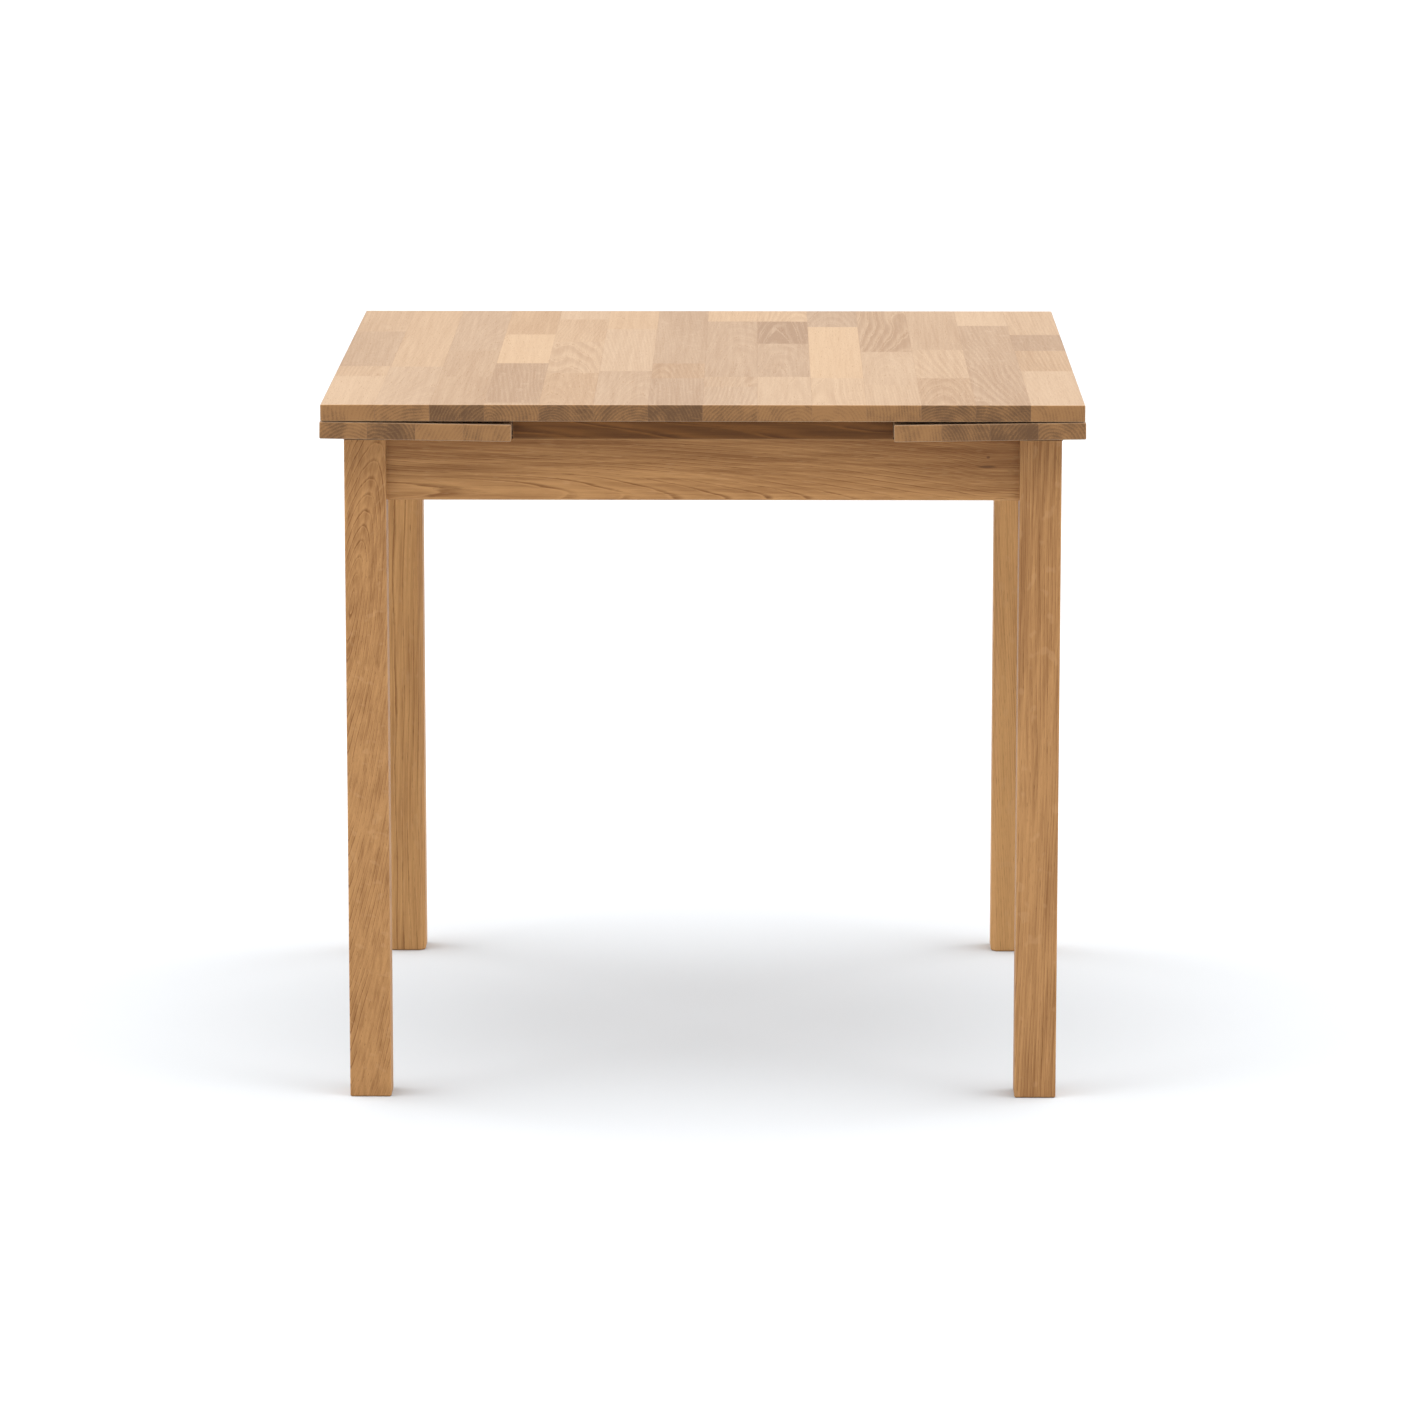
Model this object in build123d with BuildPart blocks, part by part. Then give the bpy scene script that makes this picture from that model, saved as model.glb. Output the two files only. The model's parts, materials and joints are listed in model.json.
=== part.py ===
"""Square oak draw-leaf table: a loose top on two pegs, and a leaf that draws out at each end.

Millimetres. The origin is on the floor at the middle of the table, +X points to the right
hand leaf, -Y to the front and +Z up. The leaves lie under the top at rest.
"""

import os
from math import atan, cos, degrees, sin, sqrt, tan

from build123d import *

# ---------------------------------------------------------------- driving dimensions
TABLE_HEIGHT = 750.0
TOP_SIDE = 800.0
BOARD_THICKNESS = 18.0
EASED_EDGE = 1.5

LEAF_OUTER_X = 401.0
LEAF_WIDTH = 201.0
LEAF_GAP_OUTER = 0.5
LEAF_GAP_INNER = 3.5
LEAF_DRAW = 200.0

LEG_SIDE = 44.0
LEG_HEIGHT = 709.0
LEG_SPREAD = 754.0
LEG_CORNER_FLAT = 6.0

RAIL_TOP = 709.0
RAIL_HEIGHT = 65.0
RAIL_THICKNESS = 20.0
RAIL_SETBACK = 10.0

CENTRE_BOARD_WIDTH = 399.2

GUIDE_RAIL_X = 75.0
GUIDE_RAIL_THICKNESS = 18.0
GUIDE_RAIL_HEIGHT = 50.0
STUB_TENON = 8.0

BEARER_WIDTH = 22.0
BEARER_DEPTH = 32.0
BEARER_OUTER_INSET = 16.0
BEARER_LENGTH = 535.0
BEARER_BEVEL = 14.0
BEARER_CLEARANCE = 0.4
BEARER_SIDE_PLAY = 0.5
LEFT_BEARER_Y = 220.0
RIGHT_BEARER_Y = 250.0

BLOCK_NEAR = 44.0
BLOCK_FAR = 76.0
BLOCK_HEIGHT = 45.0
BLOCK_SCREW_U = 60.0
BLOCK_SCREW_POCKET = 10.0

# ---------------------------------------------------------------- fastenings
FIT_GAP = 0.05
DOWEL_RADIUS = 4.0
DOWEL_LENGTH = 40.0
DOWEL_DROPS = (14.0, 50.0)

BOLT_RADIUS = 4.0
BOLT_IN_LEG = 30.0
BOLT_PAST_BLOCK = 14.0
BOLT_DROP = 32.0
WASHER_RADIUS = 9.0
WASHER_THICKNESS = 1.6
NUT_ACROSS_FLATS = 13.0
NUT_THICKNESS = 6.5

SCREW_RADIUS = 2.25
SCREW_HEAD_RADIUS = 4.5
SCREW_HEAD_HEIGHT = 2.7
SCREW_SINK = 0.6
SLOT_WIDTH = 1.2
SLOT_DEPTH = 0.9
BLOCK_SCREW_LENGTH = 24.0
BOARD_SCREW_LENGTH = 60.0
BOARD_SCREW_X = (-150.0, 0.0, 150.0)
LEAF_SCREW_LENGTH = 30.0
LEAF_SCREW_POCKET = 14.0
LEAF_SCREW_POCKET_RADIUS = 5.5
LEAF_SCREW_R = (45.0, 110.0, 175.0)

PEG_RADIUS = 8.0
PEG_PLAY = 0.3
PEG_IN_TOP = 10.0
PEG_BELOW_TOP = 22.0
PEG_Y = 260.0

STOP_PIN_RADIUS = 4.0
STOP_PIN_IN_BEARER = 16.0
STOP_PIN_BELOW = 10.0
STOP_CLEARANCE = 0.6

# ---------------------------------------------------------------- derived sizes
TOP_UNDERSIDE = TABLE_HEIGHT - BOARD_THICKNESS
CENTRE_BOARD_THICKNESS = TOP_UNDERSIDE - RAIL_TOP
RAIL_FACE = LEG_SPREAD / 2 - RAIL_SETBACK
RAIL_MIDDLE = RAIL_FACE - RAIL_THICKNESS / 2
RAIL_INSIDE = RAIL_FACE - RAIL_THICKNESS
RAIL_BOTTOM = RAIL_TOP - RAIL_HEIGHT
LEG_MIDDLE = (LEG_SPREAD - LEG_SIDE) / 2
LEG_INSIDE = LEG_SPREAD / 2 - LEG_SIDE
RAIL_LENGTH = 2 * LEG_INSIDE

TILT = atan((LEAF_GAP_INNER - LEAF_GAP_OUTER) / LEAF_WIDTH)
LEAF_EDGE_Z = TOP_UNDERSIDE - LEAF_GAP_OUTER
BEARER_UNDERSIDE = -BOARD_THICKNESS - BEARER_DEPTH
LEAF_FOOT_AT_BOARD = (
    LEAF_EDGE_Z - BOARD_THICKNESS - (LEAF_OUTER_X - CENTRE_BOARD_WIDTH / 2) * tan(TILT)
)
BEARER_SHOULDER = LEAF_FOOT_AT_BOARD - (RAIL_TOP - BEARER_CLEARANCE)
BEARER_STEP_R = LEAF_WIDTH - 3.0
BEARER_END_R = BEARER_OUTER_INSET + BEARER_LENGTH
STOP_PIN_DEPTH = BOARD_THICKNESS + BEARER_DEPTH + STOP_PIN_BELOW
STOP_PIN_AT_RAIL = (LEAF_OUTER_X - RAIL_INSIDE + STOP_PIN_DEPTH * sin(TILT)) / cos(TILT)
STOP_PIN_R = STOP_PIN_AT_RAIL + LEAF_DRAW + STOP_PIN_RADIUS + STOP_CLEARANCE

BLOCK_TOP = RAIL_TOP - 10.0
BOLT_Z = RAIL_TOP - BOLT_DROP
BOLT_START = (2 * (RAIL_INSIDE - LEG_INSIDE) - LEG_CORNER_FLAT) / sqrt(2) - BOLT_IN_LEG
BLOCK_FACE = BLOCK_FAR / sqrt(2)
BOLT_END = BLOCK_FACE + BOLT_PAST_BLOCK

SIDES = {"left": -1, "right": 1}
ENDS = {"front": -1, "rear": 1}
BEARER_Y = {"left": LEFT_BEARER_Y, "right": RIGHT_BEARER_Y}


def save(part, name):
    """Label a finished piece and write it as parts/NAME.step."""
    part.label = name
    export_step(part, f"parts/{name}.step")


def bearer_foot(distance):
    """Height of a bearer's underside at a distance inward from the leaf's outer edge."""
    return LEAF_EDGE_Z + BEARER_UNDERSIDE / cos(TILT) - distance * tan(TILT)


def leaf_plane(side, distance, depth, y=0.0):
    """Plane in the tilted leaf, a distance inward from its outer edge and a depth below its face."""
    run = distance * cos(TILT) - depth * sin(TILT)
    drop = distance * sin(TILT) + depth * cos(TILT)
    return Plane(
        origin=(side * (LEAF_OUTER_X - run), y, LEAF_EDGE_Z - drop),
        x_dir=(cos(TILT), 0, side * sin(TILT)),
        z_dir=(-side * sin(TILT), 0, cos(TILT)),
    )


def corner_plane(side, end):
    """Plane at an inside corner of the rails, its normal level and pointing at the table's middle."""
    return Plane(
        origin=(side * RAIL_INSIDE, end * RAIL_INSIDE, BOLT_Z),
        x_dir=(-side * end, 1, 0),
        z_dir=(-side, -end, 0),
    )


def countersunk_screw(plane, length):
    """Slotted countersunk wood screw with its head's face on the plane and its point below."""
    profile = (
        (0, 0),
        (SCREW_HEAD_RADIUS, 0),
        (SCREW_RADIUS, -SCREW_HEAD_HEIGHT),
        (SCREW_RADIUS, -length + 3 * SCREW_RADIUS),
        (0, -length),
    )
    with BuildPart(mode=Mode.PRIVATE) as screw:
        with BuildSketch(Plane.XZ):
            with BuildLine():
                Polyline(*profile, close=True)
            make_face()
        revolve(axis=Axis.Z)
        with BuildSketch(Plane.XY):
            Rectangle(2 * SCREW_HEAD_RADIUS, SLOT_WIDTH)
        extrude(amount=-SLOT_DEPTH, mode=Mode.SUBTRACT)
    return plane.location * screw.part


def group(solids):
    """Identical fastenings as one piece of separate solids."""
    return Compound(children=list(solids))


os.makedirs("parts", exist_ok=True)

# ---------------------------------------------------------------- loose main top and its pegs
with BuildPart() as main_top:
    with BuildSketch(Plane.XY.offset(TOP_UNDERSIDE)):
        Rectangle(TOP_SIDE, TOP_SIDE)
    extrude(amount=BOARD_THICKNESS)
    fillet(main_top.edges(), EASED_EDGE)
    with Locations(Plane.XY.offset(TOP_UNDERSIDE)):
        with Locations((0, -PEG_Y), (0, PEG_Y)):
            Cylinder(
                PEG_RADIUS + FIT_GAP,
                PEG_IN_TOP,
                align=(Align.CENTER, Align.CENTER, Align.MIN),
                mode=Mode.SUBTRACT,
            )
save(main_top.part, "main_top")

with BuildPart() as top_pegs:
    with BuildSketch(Plane.XY.offset(TOP_UNDERSIDE - PEG_BELOW_TOP)):
        with Locations((0, -PEG_Y), (0, PEG_Y)):
            Circle(PEG_RADIUS)
    extrude(amount=PEG_BELOW_TOP + PEG_IN_TOP)
    chamfer(top_pegs.edges().group_by(Axis.Z)[0], EASED_EDGE)
save(top_pegs.part, "top_pegs")

# ---------------------------------------------------------------- legs
for side_name, side in SIDES.items():
    for end_name, end in ENDS.items():
        with BuildPart() as leg:
            with BuildSketch(Plane.XY):
                with Locations((side * LEG_MIDDLE, end * LEG_MIDDLE)):
                    Rectangle(LEG_SIDE, LEG_SIDE)
            extrude(amount=LEG_HEIGHT)
            inner_edge = leg.edges().filter_by(Axis.Z).sort_by_distance((0, 0, LEG_HEIGHT / 2))[0]
            chamfer(inner_edge, LEG_CORNER_FLAT)
            fillet(leg.edges().filter_by(Axis.Z).sort_by_distance((0, 0, LEG_HEIGHT / 2))[2:], EASED_EDGE)
            chamfer(leg.faces().sort_by(Axis.Z)[0].edges(), EASED_EDGE)
            for drop in DOWEL_DROPS:
                rail_plane = Plane(
                    origin=(side * LEG_INSIDE, end * RAIL_MIDDLE, RAIL_TOP - drop), z_dir=(side, 0, 0)
                )
                end_plane = Plane(
                    origin=(side * RAIL_MIDDLE, end * LEG_INSIDE, RAIL_TOP - drop), z_dir=(0, end, 0)
                )
                for dowel_plane in (rail_plane, end_plane):
                    with BuildSketch(dowel_plane):
                        Circle(DOWEL_RADIUS + FIT_GAP)
                    extrude(amount=DOWEL_LENGTH / 2, mode=Mode.SUBTRACT)
            with BuildSketch(corner_plane(side, end).offset(BOLT_START)):
                Circle(BOLT_RADIUS + FIT_GAP)
            extrude(amount=BOLT_END - BOLT_START, mode=Mode.SUBTRACT)
        save(leg.part, f"{end_name}_{side_name}_leg")

# ---------------------------------------------------------------- front and rear aprons
for end_name, end in ENDS.items():
    with BuildPart() as apron:
        with BuildSketch(Plane.XY.offset(RAIL_BOTTOM)):
            with Locations((0, end * RAIL_MIDDLE)):
                Rectangle(RAIL_LENGTH, RAIL_THICKNESS)
        extrude(amount=RAIL_HEIGHT)
        chamfer(apron.faces().sort_by(Axis.Z)[0].edges().filter_by(Axis.X), EASED_EDGE)
        with BuildSketch(Plane.XY.offset(RAIL_TOP - GUIDE_RAIL_HEIGHT)):
            with Locations(*((x, end * (RAIL_INSIDE + STUB_TENON / 2)) for x in (-GUIDE_RAIL_X, GUIDE_RAIL_X))):
                Rectangle(GUIDE_RAIL_THICKNESS, STUB_TENON)
        extrude(amount=GUIDE_RAIL_HEIGHT, mode=Mode.SUBTRACT)
        for side in SIDES.values():
            for drop in DOWEL_DROPS:
                dowel_plane = Plane(
                    origin=(side * LEG_INSIDE, end * RAIL_MIDDLE, RAIL_TOP - drop), z_dir=(-side, 0, 0)
                )
                with BuildSketch(dowel_plane):
                    Circle(DOWEL_RADIUS + FIT_GAP)
                extrude(amount=DOWEL_LENGTH / 2, mode=Mode.SUBTRACT)
            screw_plane = Plane(
                origin=(side * (RAIL_INSIDE - BLOCK_SCREW_U), end * RAIL_INSIDE, BOLT_Z), z_dir=(0, end, 0)
            )
            with BuildSketch(screw_plane):
                Circle(SCREW_RADIUS + FIT_GAP)
            extrude(amount=BLOCK_SCREW_LENGTH - BLOCK_SCREW_POCKET + FIT_GAP, mode=Mode.SUBTRACT)
        with BuildSketch(Plane.XY.offset(RAIL_TOP)):
            with Locations(*((x, end * RAIL_MIDDLE) for x in BOARD_SCREW_X)):
                Circle(SCREW_RADIUS + FIT_GAP)
        extrude(
            amount=-(BOARD_SCREW_LENGTH + SCREW_SINK - CENTRE_BOARD_THICKNESS + FIT_GAP), mode=Mode.SUBTRACT
        )
    save(apron.part, f"{end_name}_apron")

# ---------------------------------------------------------------- end rails, notched for the bearers
for side_name, side in SIDES.items():
    notch_floor = bearer_foot(LEAF_OUTER_X - RAIL_INSIDE) - BEARER_CLEARANCE
    with BuildPart() as end_rail:
        with BuildSketch(Plane.XY.offset(RAIL_BOTTOM)):
            with Locations((side * RAIL_MIDDLE, 0)):
                Rectangle(RAIL_THICKNESS, RAIL_LENGTH)
        extrude(amount=RAIL_HEIGHT)
        chamfer(end_rail.faces().sort_by(Axis.Z)[0].edges().filter_by(Axis.Y), EASED_EDGE)
        with BuildSketch(Plane.XY.offset(notch_floor)):
            with Locations(*((side * RAIL_MIDDLE, end * BEARER_Y[side_name]) for end in ENDS.values())):
                Rectangle(RAIL_THICKNESS, BEARER_WIDTH + 2 * BEARER_SIDE_PLAY)
        extrude(amount=RAIL_TOP - notch_floor, mode=Mode.SUBTRACT)
        for end in ENDS.values():
            for drop in DOWEL_DROPS:
                dowel_plane = Plane(
                    origin=(side * RAIL_MIDDLE, end * LEG_INSIDE, RAIL_TOP - drop), z_dir=(0, -end, 0)
                )
                with BuildSketch(dowel_plane):
                    Circle(DOWEL_RADIUS + FIT_GAP)
                extrude(amount=DOWEL_LENGTH / 2, mode=Mode.SUBTRACT)
            screw_plane = Plane(
                origin=(side * RAIL_INSIDE, end * (RAIL_INSIDE - BLOCK_SCREW_U), BOLT_Z), z_dir=(side, 0, 0)
            )
            with BuildSketch(screw_plane):
                Circle(SCREW_RADIUS + FIT_GAP)
            extrude(amount=BLOCK_SCREW_LENGTH - BLOCK_SCREW_POCKET + FIT_GAP, mode=Mode.SUBTRACT)
    save(end_rail.part, f"{side_name}_end_rail")

# ---------------------------------------------------------------- cross rails that guide the bearers
for rail_name, rail_side in SIDES.items():
    with BuildPart() as guide_rail:
        with BuildSketch(Plane.XY.offset(RAIL_TOP - GUIDE_RAIL_HEIGHT)):
            with Locations((rail_side * GUIDE_RAIL_X, 0)):
                Rectangle(GUIDE_RAIL_THICKNESS, 2 * (RAIL_INSIDE + STUB_TENON))
        extrude(amount=GUIDE_RAIL_HEIGHT)
        for leaf_name, leaf_side in SIDES.items():
            reach = LEAF_OUTER_X - leaf_side * rail_side * GUIDE_RAIL_X + GUIDE_RAIL_THICKNESS / 2
            notch_floor = bearer_foot(reach) - BEARER_CLEARANCE
            with BuildSketch(Plane.XY.offset(notch_floor)):
                with Locations(*((rail_side * GUIDE_RAIL_X, end * BEARER_Y[leaf_name]) for end in ENDS.values())):
                    Rectangle(GUIDE_RAIL_THICKNESS, BEARER_WIDTH + 2 * BEARER_SIDE_PLAY)
            extrude(amount=RAIL_TOP - notch_floor, mode=Mode.SUBTRACT)
    save(guide_rail.part, f"{rail_name}_guide_rail")

# ---------------------------------------------------------------- fixed centre board
with BuildPart() as centre_board:
    with BuildSketch(Plane.XY.offset(RAIL_TOP)):
        Rectangle(CENTRE_BOARD_WIDTH, 2 * RAIL_FACE)
    extrude(amount=CENTRE_BOARD_THICKNESS)
    with BuildSketch(Plane.XY.offset(RAIL_TOP)):
        with Locations((0, -PEG_Y), (0, PEG_Y)):
            Circle(PEG_RADIUS + PEG_PLAY)
    extrude(amount=CENTRE_BOARD_THICKNESS, mode=Mode.SUBTRACT)
    for end in ENDS.values():
        with Locations(*((x, end * RAIL_MIDDLE, TOP_UNDERSIDE) for x in BOARD_SCREW_X)):
            CounterSinkHole(
                radius=SCREW_RADIUS + FIT_GAP,
                counter_sink_radius=SCREW_HEAD_RADIUS + SCREW_SINK,
                depth=CENTRE_BOARD_THICKNESS,
                counter_sink_angle=2 * degrees(atan((SCREW_HEAD_RADIUS - SCREW_RADIUS) / SCREW_HEAD_HEIGHT)),
            )
save(centre_board.part, "centre_board")

# ---------------------------------------------------------------- corner blocks
for side_name, side in SIDES.items():
    for end_name, end in ENDS.items():
        corner = ((BLOCK_NEAR, 0), (BLOCK_FAR, 0), (0, BLOCK_FAR), (0, BLOCK_NEAR))
        outline = [(side * (RAIL_INSIDE - u), end * (RAIL_INSIDE - v)) for u, v in corner]
        with BuildPart() as corner_block:
            with BuildSketch(Plane.XY.offset(BLOCK_TOP - BLOCK_HEIGHT)):
                with BuildLine():
                    Polyline(*outline, close=True)
                make_face()
            extrude(amount=BLOCK_HEIGHT)
            with BuildSketch(corner_plane(side, end).offset(BLOCK_NEAR / 2)):
                Circle(BOLT_RADIUS + FIT_GAP)
            extrude(amount=BLOCK_FACE, mode=Mode.SUBTRACT)
            to_apron = Plane(
                origin=(side * (RAIL_INSIDE - BLOCK_SCREW_U), end * RAIL_INSIDE, BOLT_Z), z_dir=(0, -end, 0)
            )
            to_end_rail = Plane(
                origin=(side * RAIL_INSIDE, end * (RAIL_INSIDE - BLOCK_SCREW_U), BOLT_Z), z_dir=(-side, 0, 0)
            )
            for screw_plane in (to_apron, to_end_rail):
                with BuildSketch(screw_plane):
                    Circle(SCREW_RADIUS + FIT_GAP)
                extrude(amount=BLOCK_FAR, mode=Mode.SUBTRACT)
                with BuildSketch(screw_plane.offset(BLOCK_SCREW_POCKET - SCREW_HEAD_HEIGHT)):
                    Circle(SCREW_HEAD_RADIUS + FIT_GAP)
                extrude(amount=BLOCK_FAR, mode=Mode.SUBTRACT)
        save(corner_block.part, f"{end_name}_{side_name}_corner_block")

# ---------------------------------------------------------------- leaves and their bearers
for side_name, side in SIDES.items():
    leaf_middle = leaf_plane(side, LEAF_WIDTH / 2, BOARD_THICKNESS)
    with BuildPart() as leaf:
        with BuildSketch(leaf_middle):
            Rectangle(LEAF_WIDTH, TOP_SIDE)
        extrude(amount=BOARD_THICKNESS)
        fillet(leaf.edges(), EASED_EDGE)
        for end in ENDS.values():
            for distance in LEAF_SCREW_R:
                with BuildSketch(leaf_plane(side, distance, BOARD_THICKNESS, end * BEARER_Y[side_name])):
                    Circle(SCREW_RADIUS + FIT_GAP)
                extrude(
                    amount=LEAF_SCREW_LENGTH + LEAF_SCREW_POCKET - BEARER_DEPTH + FIT_GAP, mode=Mode.SUBTRACT
                )
    save(leaf.part, f"{side_name}_leaf")

    for end_name, end in ENDS.items():
        bearer_side = leaf_plane(side, 0, 0, end * BEARER_Y[side_name])
        profile_plane = Plane(origin=bearer_side.origin, x_dir=bearer_side.x_dir, z_dir=(0, -1, 0))
        profile = (
            (BEARER_OUTER_INSET, -BOARD_THICKNESS),
            (BEARER_STEP_R, -BOARD_THICKNESS),
            (BEARER_STEP_R, -BOARD_THICKNESS - BEARER_SHOULDER),
            (BEARER_END_R, -BOARD_THICKNESS - BEARER_SHOULDER),
            (BEARER_END_R, BEARER_UNDERSIDE),
            (BEARER_OUTER_INSET + BEARER_BEVEL, BEARER_UNDERSIDE),
            (BEARER_OUTER_INSET, BEARER_UNDERSIDE + BEARER_BEVEL),
        )
        with BuildPart() as bearer:
            with BuildSketch(profile_plane):
                with BuildLine():
                    Polyline(*((-side * r, n) for r, n in profile), close=True)
                make_face()
            extrude(amount=BEARER_WIDTH / 2, both=True)
            for distance in LEAF_SCREW_R:
                screw_plane = leaf_plane(
                    side, distance, BOARD_THICKNESS + BEARER_DEPTH, end * BEARER_Y[side_name]
                )
                with BuildSketch(screw_plane):
                    Circle(SCREW_RADIUS + FIT_GAP)
                extrude(amount=BEARER_DEPTH, mode=Mode.SUBTRACT)
                with BuildSketch(screw_plane):
                    Circle(LEAF_SCREW_POCKET_RADIUS)
                extrude(amount=LEAF_SCREW_POCKET + SCREW_HEAD_HEIGHT, mode=Mode.SUBTRACT)
            pin_plane = leaf_plane(
                side, STOP_PIN_R, BOARD_THICKNESS + BEARER_DEPTH, end * BEARER_Y[side_name]
            )
            with BuildSketch(pin_plane):
                Circle(STOP_PIN_RADIUS + FIT_GAP)
            extrude(amount=STOP_PIN_IN_BEARER + FIT_GAP, mode=Mode.SUBTRACT)
        save(bearer.part, f"{side_name}_leaf_{end_name}_bearer")

    screws = []
    for end in ENDS.values():
        for distance in LEAF_SCREW_R:
            head = leaf_plane(
                side,
                distance,
                BOARD_THICKNESS + BEARER_DEPTH - LEAF_SCREW_POCKET,
                end * BEARER_Y[side_name],
            )
            upside_down = Plane(origin=head.origin, x_dir=head.x_dir, z_dir=-head.z_dir)
            screws.append(countersunk_screw(upside_down, LEAF_SCREW_LENGTH))
    save(group(screws), f"{side_name}_leaf_screws")

    pins = []
    for end in ENDS.values():
        pin_foot = leaf_plane(side, STOP_PIN_R, STOP_PIN_DEPTH, end * BEARER_Y[side_name])
        with BuildPart() as stop_pin:
            with BuildSketch(pin_foot):
                Circle(STOP_PIN_RADIUS)
            extrude(amount=STOP_PIN_BELOW + STOP_PIN_IN_BEARER)
        pins.append(stop_pin.part)
    save(group(pins), f"{side_name}_leaf_stop_pins")

# ---------------------------------------------------------------- fastenings of the frame
with BuildPart() as leg_dowels:
    for side in SIDES.values():
        for end in ENDS.values():
            for drop in DOWEL_DROPS:
                along_apron = Plane(
                    origin=(side * LEG_INSIDE, end * RAIL_MIDDLE, RAIL_TOP - drop), z_dir=(1, 0, 0)
                )
                along_end_rail = Plane(
                    origin=(side * RAIL_MIDDLE, end * LEG_INSIDE, RAIL_TOP - drop), z_dir=(0, 1, 0)
                )
                for dowel_plane in (along_apron, along_end_rail):
                    with BuildSketch(dowel_plane):
                        Circle(DOWEL_RADIUS)
                    extrude(amount=DOWEL_LENGTH / 2 - FIT_GAP, both=True)
save(leg_dowels.part, "leg_dowels")

with BuildPart() as hanger_bolts:
    for side in SIDES.values():
        for end in ENDS.values():
            with BuildSketch(corner_plane(side, end).offset(BOLT_START + FIT_GAP)):
                Circle(BOLT_RADIUS)
            extrude(amount=BOLT_END - BOLT_START)
save(hanger_bolts.part, "hanger_bolts")

with BuildPart() as hanger_washers:
    for side in SIDES.values():
        for end in ENDS.values():
            with BuildSketch(corner_plane(side, end).offset(BLOCK_FACE)):
                Circle(WASHER_RADIUS)
                Circle(BOLT_RADIUS + FIT_GAP, mode=Mode.SUBTRACT)
            extrude(amount=WASHER_THICKNESS)
save(hanger_washers.part, "hanger_washers")

with BuildPart() as hanger_nuts:
    for side in SIDES.values():
        for end in ENDS.values():
            with BuildSketch(corner_plane(side, end).offset(BLOCK_FACE + WASHER_THICKNESS)):
                RegularPolygon(NUT_ACROSS_FLATS / 2, 6, major_radius=False)
                Circle(BOLT_RADIUS + FIT_GAP, mode=Mode.SUBTRACT)
            extrude(amount=NUT_THICKNESS)
save(hanger_nuts.part, "hanger_nuts")

block_screws = []
for side in SIDES.values():
    for end in ENDS.values():
        head_inset = RAIL_INSIDE - BLOCK_SCREW_POCKET
        across = RAIL_INSIDE - BLOCK_SCREW_U
        into_apron = Plane(origin=(side * across, end * head_inset, BOLT_Z), z_dir=(0, -end, 0))
        into_end_rail = Plane(origin=(side * head_inset, end * across, BOLT_Z), z_dir=(-side, 0, 0))
        block_screws.append(countersunk_screw(into_apron, BLOCK_SCREW_LENGTH))
        block_screws.append(countersunk_screw(into_end_rail, BLOCK_SCREW_LENGTH))
save(group(block_screws), "corner_block_screws")

board_screws = []
for end in ENDS.values():
    for x in BOARD_SCREW_X:
        head = Plane(origin=(x, end * RAIL_MIDDLE, TOP_UNDERSIDE - SCREW_SINK), z_dir=(0, 0, 1))
        board_screws.append(countersunk_screw(head, BOARD_SCREW_LENGTH))
save(group(board_screws), "centre_board_screws")
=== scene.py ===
"""Looks of a small square oak draw-leaf table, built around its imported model."""

import json
import logging
import math
import random
from dataclasses import dataclass, field
from enum import Enum
from typing import Any, Optional, Union

import bmesh
import bpy
from mathutils import Matrix, Vector


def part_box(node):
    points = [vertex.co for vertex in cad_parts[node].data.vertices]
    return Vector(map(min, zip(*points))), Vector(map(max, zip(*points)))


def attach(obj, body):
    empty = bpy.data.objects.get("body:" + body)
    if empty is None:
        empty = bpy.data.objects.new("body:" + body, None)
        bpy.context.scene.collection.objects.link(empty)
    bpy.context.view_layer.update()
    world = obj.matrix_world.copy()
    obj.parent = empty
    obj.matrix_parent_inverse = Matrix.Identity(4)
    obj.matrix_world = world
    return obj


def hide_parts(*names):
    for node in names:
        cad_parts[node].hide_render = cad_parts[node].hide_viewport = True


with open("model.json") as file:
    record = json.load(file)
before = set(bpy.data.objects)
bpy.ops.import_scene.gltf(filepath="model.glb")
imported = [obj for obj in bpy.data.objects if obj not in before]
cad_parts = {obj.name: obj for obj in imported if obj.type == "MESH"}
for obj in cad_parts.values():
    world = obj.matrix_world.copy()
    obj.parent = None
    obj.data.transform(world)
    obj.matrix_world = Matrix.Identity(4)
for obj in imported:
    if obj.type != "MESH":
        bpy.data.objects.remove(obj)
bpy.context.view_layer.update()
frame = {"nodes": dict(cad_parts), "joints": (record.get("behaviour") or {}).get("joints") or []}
MM = 0.001
ROUNDING = 1e-6

log = logging.getLogger("draw_leaf_table")

Colour = tuple[float, float, float]
Number = Union[int, float]


class Grain(Enum):
    """Row axis that a piece's fibres follow."""

    ALONG_X = 0
    ALONG_Y = 1
    ALONG_Z = 2

    @property
    def others(self) -> tuple[int, int]:
        """The two axes across the fibres."""
        first, second = (axis for axis in range(3) if axis != self.value)
        return first, second


class Side(Enum):
    """The two ends that a leaf draws from."""

    LEFT = "left"
    RIGHT = "right"

    @property
    def sign(self) -> int:
        """-1 on the left, 1 on the right."""
        return -1 if self is Side.LEFT else 1


class End(Enum):
    """Front and rear of the table."""

    FRONT = "front"
    REAR = "rear"


# ---------------------------------------------------------------- shader maths


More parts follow.
